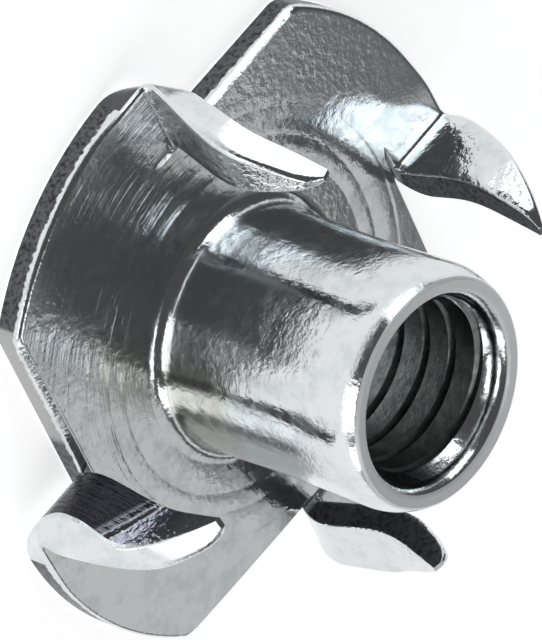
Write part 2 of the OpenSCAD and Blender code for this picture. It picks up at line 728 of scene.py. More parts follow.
    def build(self) -> bpy.types.Object:
        """Model the whole sheet: one quarter, copied round the axis and welded.

        Returns:
            The sheet, open along the hub's ring.
        """
        first = self.quarter()
        quarters = [first]
        for index in range(1, self.lobes):
            activate(first)
            bpy.ops.object.duplicate(linked=False)
            copy = bpy.context.object
            bpy.ops.transform.rotate(
                value=index * math.tau / self.lobes,
                orient_axis="Z",
                center_override=(0.0, 0.0, 0.0),
            )
            bpy.ops.object.transform_apply(location=True, rotation=True, scale=True)
            quarters.append(copy)
        sheet = join(quarters, "sheet")
        weld(sheet)
        return sheet


# --------------------------------------------------------------------------- the barrel


@dataclass
class DrawnBarrel:
    """The drawn barrel and the hub it stands on, in millimetres.

    Attributes:
        radius: Outside radius of the barrel.
        height: Height of the rim above the underside.
        bore_r: Radius of the bore inside the crests of the thread.
        mouth_r: Radius at which the rim's face ends and the mouth starts.
        throat_r: Radius at the foot of the mouth's rounded bevel.
        throat_z: Height of that foot.
        bore_z: Height at which the bore starts, below the throat's taper.
        rim_r: Outside radius of the rim's face.
        rim: That face's points: how far in from its outer edge, and how far down.
        mouth: The mouth's bevel: shares of the way inward, and of the fall.
        throat: Points of the throat's taper: radius and height.
        nose_r: Radius that rounds the barrel over toward the rim.
        nose_end: How far short of the rim that rounding ends, in degrees.
        root_r: Radius between the barrel and the hub.
        entry_r: Radius of the drawn entry on the underside.
        waist: How much slimmer the barrel is at its waist.
        crease: Depth of the rings that the drawing tools left on the hub.
        crease_half: Half of the width of those rings.
        crease_rs: Radii of those rings.
        root_steps: Faces round the root.
        wall_steps: Faces up the barrel's wall.
        nose_steps: Faces round the nose.
        bore_steps: Faces down the bore.
        entry_steps: Faces round the entry.
        hub_steps: Faces outward along the hub's underside.
        bore_margin: How far past the bore's radius a face still counts as tapped.
    """

    radius: float = 3.7
    height: float = 8.5
    bore_r: float = 2.54
    mouth_r: float = 3.1
    throat_r: float = 2.82
    throat_z: float = 8.1
    bore_z: float = 7.6
    rim_r: float = 3.4
    rim: tuple[tuple[float, float], ...] = (
        (0.036, 0.003),
        (0.096, 0.012),
        (0.15, 0.015),
        (0.27, 0.03),
    )
    mouth: tuple[tuple[float, float], ...] = (
        (0.05, 0.01),
        (0.35, 0.16),
        (0.6, 0.34),
        (0.8, 0.56),
        (0.93, 0.8),
    )
    throat: tuple[tuple[float, float], ...] = ((2.8, 7.98), (2.57, 7.7))
    nose_r: float = 1.75
    nose_end: float = 2.0
    root_r: float = 0.5
    entry_r: float = 1.1
    waist: float = 0.05
    crease: float = 0.006
    crease_half: float = 0.05
    crease_rs: tuple[float, ...] = (6.6, 5.7, 5.1)
    root_steps: int = 9
    wall_steps: int = 20
    nose_steps: int = 14
    bore_steps: int = 12
    entry_steps: int = 14
    hub_steps: int = 4
    bore_margin: float = 0.01

    def arc(
        self, centre: tuple[float, float], radius: float, start: float, end: float, steps: int
    ) -> list[tuple[float, float]]:
        """Return points of an arc in the barrel's section.

        Args:
            centre: The arc's centre: radius from the axis, and height.
            radius: The arc's own radius.
            start: The angle at which it starts, in degrees from outward.
            end: The angle at which it ends.
            steps: How many lengths it is cut into.

        Returns:
            The points from start to end.
        """
        angles = [math.radians(mixed(start, end, step / steps)) for step in range(steps + 1)]
        return [
            (centre[0] + radius * math.cos(a), centre[1] + radius * math.sin(a)) for a in angles
        ]

    def section(self, sheet: PinwheelSheet) -> list[tuple[float, float]]:
        """Return the barrel's section from the hub's top ring round to its back ring.

        Args:
            sheet: The sheet that the hub joins.

        Returns:
            Points as radius from the axis, and height.
        """
        top = sheet.thick
        points = [(sheet.hub_r, top)]
        for ring in self.crease_rs:
            points.append((ring + self.crease_half, top))
            points.append((ring, top - self.crease))
            points.append((ring - self.crease_half, top))
        root = (self.radius + self.root_r, top + self.root_r)
        points += self.arc(root, self.root_r, 270, 180, self.root_steps)
        nose_x = self.radius - self.nose_r
        nose_z = self.height - math.sqrt(self.nose_r**2 - (self.rim_r - nose_x) ** 2)
        for step in range(1, self.wall_steps):
            points.append((self.radius, mixed(root[1], nose_z, step / self.wall_steps)))
        rim_angle = math.degrees(math.atan2(self.height - nose_z, self.rim_r - nose_x))
        nose_end = rim_angle - self.nose_end
        points += self.arc((nose_x, nose_z), self.nose_r, 0, nose_end, self.nose_steps)
        points += [(self.rim_r - inward, self.height - down) for inward, down in self.rim]
        rim_z = points[-1][1]
        for share, fall in self.mouth:
            radius = mixed(self.mouth_r, self.throat_r, share)
            points.append((radius, mixed(rim_z, self.throat_z, fall)))
        points += [(self.throat_r, self.throat_z), *self.throat, (self.bore_r, self.bore_z)]
        entry = (self.bore_r + self.entry_r, self.entry_r)
        for step in range(1, self.bore_steps):
            points.append((self.bore_r, mixed(self.bore_z, entry[1], step / self.bore_steps)))
        points += self.arc(entry, self.entry_r, 180, 270, self.entry_steps)
        for step in range(1, self.hub_steps + 1):
            points.append((mixed(entry[0], sheet.hub_r, step / self.hub_steps), 0.0))
        return [(self.waisted(r, z, root[1], nose_z), z) for r, z in points]

    def waisted(self, out: float, up: float, low: float, high: float) -> float:
        """Slim the barrel's outer wall toward its waist.

        Args:
            out: A radius of the section.
            up: The height that it belongs to.
            low: Height at which the wall starts.
            high: Height at which it ends.

        Returns:
            The radius, slimmer where it belongs to the wall.
        """
        if out <= self.rim_r or not low < up < high:
            return out
        return out - self.waist * math.sin(math.pi * (up - low) / (high - low)) ** 2

    def build(self, sheet: PinwheelSheet) -> bpy.types.Object:
        """Model the barrel: its section drawn point by point, and spun about the axis.

        Args:
            sheet: The sheet whose columns the barrel's facets meet.

        Returns:
            The barrel, open along the hub's two rings.
        """
        turn = math.pi / 2 + sheet.notch_turn
        points = [
            Vector((r * math.cos(turn), r * math.sin(turn), z)) for r, z in self.section(sheet)
        ]
        bpy.ops.object.select_all(action="DESELECT")
        bpy.ops.mesh.primitive_plane_add(size=1, location=(0, 0, 0))
        barrel = bpy.context.object
        barrel.name = "barrel"
        line_surfaces(barrel)
        with editing(barrel):
            bpy.ops.mesh.select_all(action="SELECT")
            bpy.ops.mesh.merge(type="CENTER")
            bpy.ops.transform.translate(value=points[0])
            for before, after in zip(points, points[1:]):
                bpy.ops.mesh.extrude_vertices_move(
                    TRANSFORM_OT_translate={"value": after - before}
                )
            bpy.ops.mesh.select_all(action="SELECT")
            bpy.ops.mesh.spin(
                steps=sheet.columns * sheet.lobes,
                angle=math.tau,
                center=(0.0, 0.0, 0.0),
                axis=(0.0, 0.0, 1.0),
            )
        weld(barrel)
        for face in barrel.data.polygons:
            if face.center.xy.length < self.bore_r + self.bore_margin:
                face.material_index = Surface.TAPPED.value
        return barrel


@dataclass
class TappedThread:
    """The right-hand thread in the bore, in millimetres, as the groove that a tap cuts.

    Attributes:
        pitch: Rise of one turn.
        root_r: Radius at the thread's root.
        inner_r: Radius that the tool reaches inward to, clear of the crests.
        root_flat: Width of the groove at its root.
        flank: Slope of its flanks, in degrees.
        low_z: Height of the groove's middle where it starts, below the part.
        turns: Number of turns, which reach past both ends of the bore.
        facets: Faces round one turn.
    """

    pitch: float = 1.0
    root_r: float = 2.77
    inner_r: float = 2.3
    root_flat: float = 0.03
    flank: float = 30.0
    low_z: float = -1.2
    turns: int = 11
    facets: int = 144

    def groove(self) -> bpy.types.Object:
        """Model the groove as one closed coil.

        Returns:
            The coil that is cut out of the barrel.
        """
        depth = self.root_r - self.inner_r
        half_root = self.root_flat / 2
        half_inner = half_root + depth * math.tan(math.radians(self.flank))
        bpy.ops.object.select_all(action="DESELECT")
        bpy.ops.mesh.primitive_plane_add(size=2, location=(0, 0, 0))
        coil = bpy.context.object
        coil.name = "groove"
        corners = {
            (-1, -1): (self.inner_r, -half_inner),
            (1, -1): (self.root_r, -half_root),
            (-1, 1): (self.inner_r, half_inner),
            (1, 1): (self.root_r, half_root),
        }
        for vertex in coil.data.vertices:
            r, z = corners[(round(vertex.co.x), round(vertex.co.y))]
            vertex.co = Vector((r, 0, self.low_z + z))
        with editing(coil, "FACE"):
            bpy.ops.mesh.select_all(action="SELECT")
            bpy.ops.mesh.delete(type="ONLY_FACE")
        screw = coil.modifiers.new("turns", "SCREW")
        screw.axis = "Z"
        screw.angle = math.tau
        screw.screw_offset = self.pitch
        screw.iterations = self.turns
        screw.steps = screw.render_steps = self.facets
        screw.use_merge_vertices = True
        screw.merge_threshold = WELD
        bpy.ops.object.modifier_apply(modifier=screw.name)
        with editing(coil, "EDGE"):
            bpy.ops.mesh.select_all(action="DESELECT")
            bpy.ops.mesh.select_non_manifold(extend=False)
            bpy.ops.mesh.fill_holes(sides=0)
        weld(coil)
        line_surfaces(coil)
        for face in coil.data.polygons:
            face.material_index = Surface.TAPPED.value
        return coil

    def cut(self, body: bpy.types.Object) -> None:
        """Cut the thread into a closed body and drop the tool.

        Args:
            body: The object that is tapped.
        """
        coil = self.groove()
        LOG.info("groove: %d faces, %d open edges", len(coil.data.polygons), open_edges(coil))
        activate(body)
        cutter = body.modifiers.new("thread", "BOOLEAN")
        cutter.operation = "DIFFERENCE"
        cutter.solver = "EXACT"
        cutter.object = coil
        bpy.ops.object.modifier_apply(modifier=cutter.name)
        bpy.data.objects.remove(coil, do_unlink=True)


# --------------------------------------------------------------------------- finishes


class Tree:
    """A node tree under construction, with short ways to add and join its nodes."""

    def __init__(self, tree: bpy.types.NodeTree) -> None:
        """Take hold of a material's or a group's own tree."""
        self.tree = tree

    def add(self, kind: str, **settings: object) -> bpy.types.Node:
        """Add a node.

        Args:
            kind: The node's type.
            settings: Its properties by name.

        Returns:
            The node.
        """
        node = self.tree.nodes.new(kind)
        for name, value in settings.items():
            setattr(node, name, value)
        return node

    def feed(self, socket: bpy.types.NodeSocket, value: object) -> None:
        """Give an input its value.

        Args:
            socket: The input.
            value: The output to link to it, or a plain value.
        """
        if isinstance(value, bpy.types.NodeSocket):
            self.tree.links.new(value, socket)
        else:
            socket.default_value = value

    def math(self, operation: str, *values: object) -> bpy.types.NodeSocket:
        """Add a Math node.

        Args:
            operation: What it does.
            values: Its inputs, in order.

        Returns:
            Its output.
        """
        node = self.add("ShaderNodeMath", operation=operation)
        for socket, value in zip(node.inputs, values):
            self.feed(socket, value)
        return node.outputs[0]

    def split(self, vector: bpy.types.NodeSocket) -> list[bpy.types.NodeSocket]:
        """Split a vector.

        Args:
            vector: The vector.

        Returns:
            Its parts along X, Y and Z.
        """
        node = self.add("ShaderNodeSeparateXYZ")
        self.feed(node.inputs[0], vector)
        return list(node.outputs)

    def noise(
        self, vector: object, scale: object, detail: float = 3.0, rough: float = 0.6
    ) -> bpy.types.NodeSocket:
        """Add a Noise node.

        Args:
            vector: The place.
            scale: Its lumps to a unit of length.
            detail: Its octaves.
            rough: How strong the finer octaves are.

        Returns:
            Its value.
        """
        node = self.add("ShaderNodeTexNoise")
        entries = {"Vector": vector, "Scale": scale, "Detail": detail, "Roughness": rough}
        for name, value in entries.items():
            self.feed(node.inputs[name], value)
        return node.outputs["Fac"]

    def span(
        self, value: object, low: float, high: float, to_low: float = 0.0, to_high: float = 1.0
    ) -> bpy.types.NodeSocket:
        """Map a value smoothly from one range to another.

        Args:
            value: The value.
            low: Where its range starts.
            high: Where its range ends.
            to_low: What the start becomes.
            to_high: What the end becomes.

        Returns:
            The mapped value.
        """
        node = self.add("ShaderNodeMapRange", interpolation_type="SMOOTHSTEP")
        for socket, entry in zip(node.inputs, (value, low, high, to_low, to_high)):
            self.feed(socket, entry)
        return node.outputs["Result"]

    def mix(self, share: object, first: object, second: object) -> bpy.types.NodeSocket:
        """Mix two colours.

        Args:
            share: How much there is of the second.
            first: The colour at a share of 0.
            second: The colour at a share of 1.

        Returns:
            The mixed colour.
        """
        node = self.add("ShaderNodeMix", data_type="RGBA")
        self.feed(node.inputs["Factor"], share)
        colours = [socket for socket in node.inputs if socket.type == "RGBA"]
        self.feed(colours[0], first)
        self.feed(colours[1], second)
        return next(socket for socket in node.outputs if socket.type == "RGBA")


class Along(Enum):
    """What a zone of the finish is measured along, in millimetres."""

    X = "along X"
    Y = "along Y"
    UP = "upward"
    OUT = "away from the axis"
    DRAG = "toward the +Y -X side, where the press dragged the sheet"
    SLANT = "upward from a line that slopes across the -X prong"


class Plate(Tree):
    """The node tree of one finish, with the places on the nut that its zones read.

    Attributes:
        SLANT_SLOPE: How far the slanting line rises for each millimetre along X.
        SLANT_FOOT: Its height over the axis.
    """

    SLANT_SLOPE: float = 0.42
    SLANT_FOOT: float = 4.0

    def __init__(self, tree: bpy.types.NodeTree) -> None:
        """Take hold of the tree and add the places.

        Args:
            tree: The material's node tree.
        """
        super().__init__(tree)
        scale = self.add("ShaderNodeMapping")
        scale.inputs["Scale"].default_value = (1 / MM,) * 3
        self.feed(scale.inputs["Vector"], self.add("ShaderNodeTexCoord").outputs["Object"])
        self.vector = scale.outputs["Vector"]
        x, y, z = self.split(self.vector)
        squares = self.math("ADD", self.math("MULTIPLY", x, x), self.math("MULTIPLY", y, y))
        slant = self.math("MULTIPLY_ADD", x, -self.SLANT_SLOPE, z)
        self.places = {
            Along.X: x,
            Along.Y: y,
            Along.UP: z,
            Along.OUT: self.math("SQRT", squares),
            Along.DRAG: self.math("SUBTRACT", y, x),
            Along.SLANT: self.math("SUBTRACT", slant, self.SLANT_FOOT),
        }


@dataclass(frozen=True)
class Fade:
    """One soft border of a zone, in millimetres.

    Attributes:
        along: What its place is measured along.
        start: Where the zone is at its weakest.
        full: Where it has its full strength, on either side of the start.
        least: What is left of it at its weakest.
        ragged: How far lumps of noise move the border.
        lumps: How many such lumps there are to a millimetre.
    """

    along: Along
    start: float
    full: float
    least: float = 0.0
    ragged: float = 0.0
    lumps: float = 1.0

    def mask(self, plate: Plate) -> bpy.types.NodeSocket:
        """Add the border's mask.

        Args:
            plate: The finish that it belongs to.

        Returns:
            1 inside, and the least outside.
        """
        place = plate.places[self.along]
        if self.ragged:
            noise = plate.noise(plate.vector, self.lumps)
            place = plate.math("MULTIPLY_ADD", noise, self.ragged, place)
        if self.start < self.full:
            return plate.span(place, self.start, self.full, self.least, 1.0)
        return plate.span(place, self.full, self.start, 1.0, self.least)


@dataclass(frozen=True)
class Zone:
    """A part of the surface, bounded by soft borders.

    Attributes:
        fades: Its borders.
        strength: How strong it is at its strongest.
    """

    fades: tuple[Fade, ...] = ()
    strength: float = 1.0

    def mask(self, plate: Plate) -> object:
        """Add the zone's mask.

        Args:
            plate: The finish that it belongs to.

        Returns:
            The product of its borders' masks and its strength.
        """
        mask: object = self.strength
        for fade in self.fades:
            mask = plate.math("MULTIPLY", fade.mask(plate), mask)
        return mask


@dataclass(frozen=True)
class Effect:
    """A shader node group that several finishes share.

    Attributes:
        name: The group's name.
        inputs: Its float inputs, with their default values.
    """

    name: str
    inputs: tuple[tuple[str, float], ...]

    def start(self) -> tuple[Tree, bpy.types.Node, bpy.types.Node]:
        """Make the group's empty tree with its sockets.

        Returns:
            The tree, its input node and its output node.
        """
        group = bpy.data.node_groups.new(self.name, "ShaderNodeTree")
        group.interface.new_socket("Vector", in_out="INPUT", socket_type="NodeSocketVector")
        for name, value in self.inputs:
            socket = group.interface.new_socket(name, in_out="INPUT", socket_type="NodeSocketFloat")
            socket.default_value = value
        group.interface.new_socket("Height", in_out="OUTPUT", socket_type="NodeSocketFloat")
        tree = Tree(group)
        return tree, tree.add("NodeGroupInput"), tree.add("NodeGroupOutput")

    def fill(self, tree: Tree, given: bpy.types.Node) -> bpy.types.NodeSocket:
        """Build the group's inside and return its height."""
        raise NotImplementedError

    def group(self) -> bpy.types.NodeTree:
        """Build the group the first time that it is asked for.

        Returns:
            The group.
        """
        made = bpy.data.node_groups.get(self.name)
        if made is None:
            tree, given, result = self.start()
            tree.feed(result.inputs["Height"], self.fill(tree, given))
            made = tree.tree
        return made


@dataclass(frozen=True)
class OrangePeel(Effect):
    """The pebbled skin of steel that was stretched in the press.

    Attributes:
        name: The group's name.
        inputs: Its float inputs, with their default values.
        finer: How many fine grains lie along a coarse one.
    """

    name: str = "orange_peel"
    inputs: tuple[tuple[str, float], ...] = (("Grains", 3.8), ("Deep", 0.0125), ("Grit", 0.0))
    finer: float = 4.3

    def fill(self, tree: Tree, given: bpy.types.Node) -> bpy.types.NodeSocket:
        """Lay grains of two sizes over one another.

        Args:
            tree: The group's tree.
            given: Its input node.

        Returns:
            The height.
        """
        vector, grains = given.outputs["Vector"], given.outputs["Grains"]
        coarse = tree.noise(vector, grains, detail=2.0, rough=0.55)
        fine = tree.noise(vector, tree.math("MULTIPLY", grains, self.finer), detail=2.0)
        deep = tree.math("MULTIPLY", coarse, given.outputs["Deep"])
        return tree.math("MULTIPLY_ADD", fine, given.outputs["Grit"], deep)


@dataclass(frozen=True)
class PressMarks(Effect):
    """Fine lines that the press tools leave, around the nut's axis or along it.

    Attributes:
        name: The group's name.
        inputs: Its float inputs, with their default values.
        axis_gap: The square of a distance that keeps the division off the axis itself.
    """

    name: str = "press_marks"
    inputs: tuple[tuple[str, float], ...] = (
        ("Around", 2.4),
        ("Out", 5.5),
        ("Up", 0.0),
        ("Deep", 0.022),
    )
    axis_gap: float = 0.0001

    def fill(self, tree: Tree, given: bpy.types.Node) -> bpy.types.NodeSocket:
        """Stretch a noise along the marks.

        Args:
            tree: The group's tree.
            given: Its input node.

        Returns:
            The height.
        """
        x, y, z = tree.split(given.outputs["Vector"])
        squares = tree.math("ADD", tree.math("MULTIPLY", x, x), tree.math("MULTIPLY", y, y))
        out = tree.math("SQRT", tree.math("ADD", squares, self.axis_gap))
        around = given.outputs["Around"]
        where = tree.add("ShaderNodeCombineXYZ")
        tree.feed(where.inputs[0], tree.math("MULTIPLY", tree.math("DIVIDE", x, out), around))
        tree.feed(where.inputs[1], tree.math("MULTIPLY", tree.math("DIVIDE", y, out), around))
        along = tree.math("MULTIPLY", out, given.outputs["Out"])
        tree.feed(where.inputs[2], tree.math("MULTIPLY_ADD", z, given.outputs["Up"], along))
        lines = tree.noise(where.outputs[0], 1.0)
        return tree.math("MULTIPLY", lines, given.outputs["Deep"])


@dataclass(frozen=True)
class BrushLines(Effect):
    """Fine lines dragged up a prong by the tool that folded it."""

    name: str = "brush_lines"
    inputs: tuple[tuple[str, float], ...] = (("Across", 9.0), ("Lengthwise", 0.6), ("Deep", 0.09))

    def fill(self, tree: Tree, given: bpy.types.Node) -> bpy.types.NodeSocket:
        """Stretch a noise up the prong.

        Args:
            tree: The group's tree.
            given: Its input node.

        Returns:
            The height.
        """
        where = tree.add("ShaderNodeCombineXYZ")
        spacings = ("Across", "Lengthwise", "Lengthwise")
        for target, place, name in zip(where.inputs, tree.split(given.outputs["Vector"]), spacings):
            tree.feed(target, tree.math("MULTIPLY", place, given.outputs[name]))
        lines = tree.noise(where.outputs[0], 1.0)
        return tree.math("MULTIPLY", lines, given.outputs["Deep"])


@dataclass(frozen=True)
class Relief:
    """A texture of the plate's skin.

    Attributes:
        effect: The group that makes it, or None for a plain rise over its zone.
        zone: Where it lies, as strong as it is deep, in millimetres.
        settings: The group's other inputs.
    """

    effect: Effect | None
    zone: Zone
    settings: tuple[tuple[str, float], ...] = ()

    def height(self, plate: Plate) -> bpy.types.NodeSocket:
        """Add the texture to a finish.

        Args:
            plate: The finish.

        Returns:
            The texture's height.
        """
        deep = self.zone.mask(plate)
        if self.effect is None:
            return deep
        node = plate.add("ShaderNodeGroup", node_tree=self.effect.group())
        plate.feed(node.inputs["Deep"], deep)
        plate.feed(node.inputs["Vector"], plate.vector)
        for name, value in self.settings:
            plate.feed(node.inputs[name], value)
        return node.outputs["Height"]


@dataclass(frozen=True)
class Tint:
    """A zone where the plate looks different.

    Attributes:
        colour: The plate's colour there.
        zone: Where it lies.
        matt: How much more matt it is there.
        chalk: How much less metallic it is there.
    """

    colour: Colour
    zone: Zone
    matt: float = 0.0
    chalk: float = 0.0


@dataclass(frozen=True)
class ZincFinish:
    """Bright zinc plate, as it comes out on one kind of surface.

    Attributes:
        surface: The surface that it covers.
        reliefs: The textures of its skin.
        tints: Zones where it looks different, each laid over the ones before.
        colour: The plate's own colour.
        shade: The colour in its duller patches.
        roughness: How matt it is where it is brightest.
        dull: How much more matt its dull patches are.
        patches: How many patches there are to a millimetre.
        patchy: Values of the noise between which the patches fade in.
    """

    surface: Surface
    reliefs: tuple[Relief, ...]
    tints: tuple[Tint, ...] = ()
    colour: Colour = ZINC
    shade: Colour = (0.64, 0.675, 0.69)
    roughness: float = 0.13
    dull: float = 0.08
    patches: float = 1.6
    patchy: tuple[float, float] = (0.4, 0.68)

    def build(self) -> bpy.types.Material:
        """Make the material, in the slot that its surface has.

        Returns:
            The material.
        """
        material = bpy.data.materials[self.surface.name.lower()]
        material.use_nodes = True
        plate = Plate(material.node_tree)
        shader = material.node_tree.nodes["Principled BSDF"]
        patch = plate.span(plate.noise(plate.vector, self.patches, detail=4.0), *self.patchy)
        colour = plate.mix(patch, (*self.colour, 1), (*self.shade, 1))
        matt = plate.math("MULTIPLY_ADD", patch, self.dull, self.roughness)
        metal: object = 1.0
        for tint in self.tints:
            mask = tint.zone.mask(plate)
            colour = plate.mix(mask, colour, (*tint.colour, 1))
            if tint.matt:
                matt = plate.math("MULTIPLY_ADD", mask, tint.matt, matt)
            if tint.chalk:
                metal = plate.math("MULTIPLY_ADD", mask, -tint.chalk, metal)
        plate.feed(shader.inputs["Base Color"], colour)
        plate.feed(shader.inputs["Roughness"], matt)
        plate.feed(shader.inputs["Metallic"], metal)
        skin = self.reliefs[0].height(plate)
        for relief in self.reliefs[1:]:
            skin = plate.math("ADD", skin, relief.height(plate))
        bump = plate.add("ShaderNodeBump")
        bump.inputs["Strength"].default_value = 1.0
        bump.inputs["Distance"].default_value = MM
        plate.feed(bump.inputs["Height"], skin)
        plate.feed(shader.inputs["Normal"], bump.outputs["Normal"])
        return material


# The orange peel is shallower on the side away from the drag.
DRAGGED = Fade(Along.DRAG, -8.5, -4.5, least=0.3)


def peel(grains: float, deep: float, grit: float) -> Relief:
    """Give the orange peel of one finish.

    Args:
        grains: Grains to a millimetre.
        deep: Height of the grains, in millimetres.
        grit: Height of the finest grains.

    Returns:
        The texture.
    """
    return Relief(OrangePeel(), Zone((DRAGGED,), deep), (("Grains", grains), ("Grit", grit)))


# A darker, yellowish tint at the barrel's foot, on the -X side.
FOOT_TINT = Tint(
    (0.5, 0.47, 0.36),
    Zone(
        (
            Fade(Along.X, -2.3, -3.7),
            Fade(Along.X, -5.5, -4.6),
            Fade(Along.UP, 1.1, 1.5),
            Fade(Along.UP, 4.2, 3.0),
        ),
        0.55,
    ),
)

# The convex side of the -X prong, with a painted grey reflection on it, and a painted dark
# reflection below the slanting ridge on it.
CONVEX_SIDE = (Fade(Along.X, -6.8, -7.0), Fade(Along.Y, 0.5, 0.7))
# Painted reflection: a lilac-grey colour on the convex side of the -X prong, above the slanting
# ridge.
PAINTED_GREY_REFLECTION = Tint((0.4, 0.4, 0.46), Zone((*CONVEX_SIDE, Fade(Along.SLANT, 5.6, 3.3))))
# Painted dark reflection: a near-black colour below the slanting ridge of the -X prong.
PAINTED_DARK_REFLECTION = Tint((0.035, 0.035, 0.042), Zone((*CONVEX_SIDE, Fade(Along.SLANT, 2.6, 2.3))))
RIDGE = Relief(
    None,
    Zone((*CONVEX_SIDE, Fade(Along.SLANT, 2.45, 2.68), Fade(Along.SLANT, 2.95, 2.68)), 0.09),
)
BRUSHED = Relief(BrushLines(), Zone((*CONVEX_SIDE, Fade(Along.SLANT, 2.95, 2.68)), 0.09))

# The chalky face of the rim.
BLOOM = Tint((0.94, 0.96, 0.96), Zone((Fade(Along.UP, 8.4, 8.43),), 0.8), matt=0.25, chalk=1.0)

# The deeper peel on the bent prongs, and the marks round the hub and up the barrel.
BENT = Relief(
    OrangePeel(),
    Zone((Fade(Along.UP, 1.05, 1.6), Fade(Along.OUT, 5.0, 6.0)), 0.0425),
    (("Grains", 3.8),),
)
RINGS = Relief(
    PressMarks(),
    Zone((Fade(Along.DRAG, 3.5, 8.0, least=0.06), Fade(Along.UP, 1.06, 1.01)), 0.022),
    (("Around", 2.4), ("Out", 5.5)),
)
DRAWS = Relief(
    PressMarks(),
    Zone(
        (
            Fade(Along.DRAG, 4.5, 6.5, least=1 / 3),
            Fade(Along.UP, 1.05, 1.6),
            Fade(Along.OUT, 6.0, 5.0),
        ),
        0.009,
    ),
    (("Around", 16.0), ("Out", 5.0), ("Up", 0.4)),
)

# Painted shade at the foot of one prong's curved edge, and painted light on the wall of one slit.
# Painted shade: a near-black colour at the foot of one prong's curved edge.
PAINTED_SHADE_FOOT = Tint(
    (0.1, 0.1, 0.11),
    Zone((Fade(Along.UP, 2.7, 2.1, ragged=1.2, lumps=2.2), Fade(Along.Y, 4.0, 8.0))),
)
# Painted light: the slit wall that faces -X is made paler than the other sheared walls.
PAINTED_LIGHT_WALL = Tint((0.42, 0.42, 0.42), Zone((Fade(Along.X, -6.8, -6.9), Fade(Along.Y, 1.9, 2.3))))

# The bright band that the shear burnished along the top of the flange's wall.
BURNISHED = Tint(
    ZINC,
    Zone((Fade(Along.UP, 0.75, 0.82, ragged=0.3, lumps=5.0), Fade(Along.UP, 1.2, 1.02))),
    matt=-0.18,
)


@dataclass
class TeeNut:
    """The whole nut: the sheet and its barrel, joined, tapped and finished.

    Attributes:
        sheet: The lobes and their prongs.
        barrel: The barrel and its hub.
        thread: The thread in the bore.
        finishes: The zinc on each kind of surface.
        smooth_angle: Up to which angle two faces shade as one, in degrees.
    """

    sheet: PinwheelSheet = field(default_factory=PinwheelSheet)
    barrel: DrawnBarrel = field(default_factory=DrawnBarrel)
    thread: TappedThread = field(default_factory=TappedThread)
    finishes: tuple[ZincFinish, ...] = (
        ZincFinish(
            Surface.PLATED,
            reliefs=(peel(3.8, 0.0125, 0.002), BENT, RIDGE, BRUSHED, RINGS, DRAWS),
            tints=(FOOT_TINT, PAINTED_GREY_REFLECTION, PAINTED_DARK_REFLECTION, BLOOM),
        ),
        ZincFinish(Surface.ROLLED, reliefs=(peel(8.0, 0.011, 0.002),)),
        ZincFinish(Surface.DRAWN, reliefs=(peel(4.6, 0.006, 0.001),), tints=(PAINTED_SHADE_FOOT,)),
        ZincFinish(
            Surface.SHEARED,
            reliefs=(peel(9.0, 0.016, 0.004),),
            tints=(PAINTED_LIGHT_WALL, BURNISHED),
            # The near-black colour is partly the torn steel's own dark tone and partly painted
            # shade.
            colour=(0.12, 0.122, 0.13),
            shade=(0.035, 0.036, 0.04),
            roughness=0.3,
            patches=7.0,
        ),
        ZincFinish(
            Surface.TAPPED,
            reliefs=(peel(5.0, 0.012, 0.004),),
            tints=(FOOT_TINT,),
            # The dark colour is painted shade in the bore.
            colour=(0.27, 0.3, 0.29),
            shade=(0.15, 0.17, 0.168),
            roughness=0.28,
            patches=2.2,
        ),
    )
    smooth_angle: float = 32.0

    def build(self) -> bpy.types.Object:
        """Model and dress the nut.

        Returns:
            The finished nut, in metres, in place of its CAD node.
        """
        sheet = self.sheet.build()
        LOG.info("sheet: %d faces, %d open edges", len(sheet.data.polygons), open_edges(sheet))
        barrel = self.barrel.build(self.sheet)
        LOG.info("barrel: %d faces, %d open edges", len(barrel.data.polygons), open_edges(barrel))
        nut = join([sheet, barrel], "nut")
        weld(nut)
        LOG.info("nut: %d faces, %d open edges", len(nut.data.polygons), open_edges(nut))
        self.thread.cut(nut)
        LOG.info("tapped: %d faces, %d open edges", len(nut.data.polygons), open_edges(nut))
        for finish in self.finishes:
            LOG.info("finish: %s", finish.build().name)
        nut.data.transform(Matrix.Scale(MM, 4))
        activate(nut)
        bpy.ops.object.shade_smooth_by_angle(angle=math.radians(self.smooth_angle))
        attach(nut, "root")
        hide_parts(NODE)
        return nut


# --------------------------------------------------------------------------- the studio


@dataclass
class Camera:
    """A long lens that looks down on the nut, rolled so that the barrel points to the right.

    Attributes:
        aim: The point that the lens looks at, in millimetres.
        distance: How far away it stands, in millimetres.
        azimuth: Where it stands, in degrees from +X toward +Y.
        elevation: How high it stands, in degrees.
        roll: How far it is turned about its own axis, in degrees.
        lens: Its focal length, in millimetres.
        frame: Width of its frame, in millimetres.
        clip: The nearest and the farthest that it sees, in metres.
    """

    aim: tuple[float, float, float] = (0.2016, 0.4175, 2.0)
    distance: float = 236.05
    azimuth: float = 121.6425
    elevation: float = 39.0269
    roll: float = 109.549
    lens: float = 459.99
    frame: float = 36.0
    clip: tuple[float, float] = (0.01, 10.0)

    def build(self) -> bpy.types.Object:
        """Set the camera up and make it the scene's own.

        Returns:
            The camera.
        """
        back = direction(self.azimuth, self.elevation)
        level = Vector((0, 0, 1)).cross(back).normalized()
        right = Matrix.Rotation(math.radians(self.roll), 3, back) @ level
        up = back.cross(right)
        place = Matrix((right, up, back)).transposed().to_4x4()
        place.translation = (Vector(self.aim) + back * self.distance) * MM
        data = bpy.data.cameras.new("camera")
        data.sensor_width = self.frame
        data.lens = self.lens
        data.clip_start, data.clip_end = self.clip
        camera = bpy.data.objects.new("camera", data)
        camera.matrix_world = place
        bpy.context.collection.objects.link(camera)
        bpy.context.scene.camera = camera
        return camera


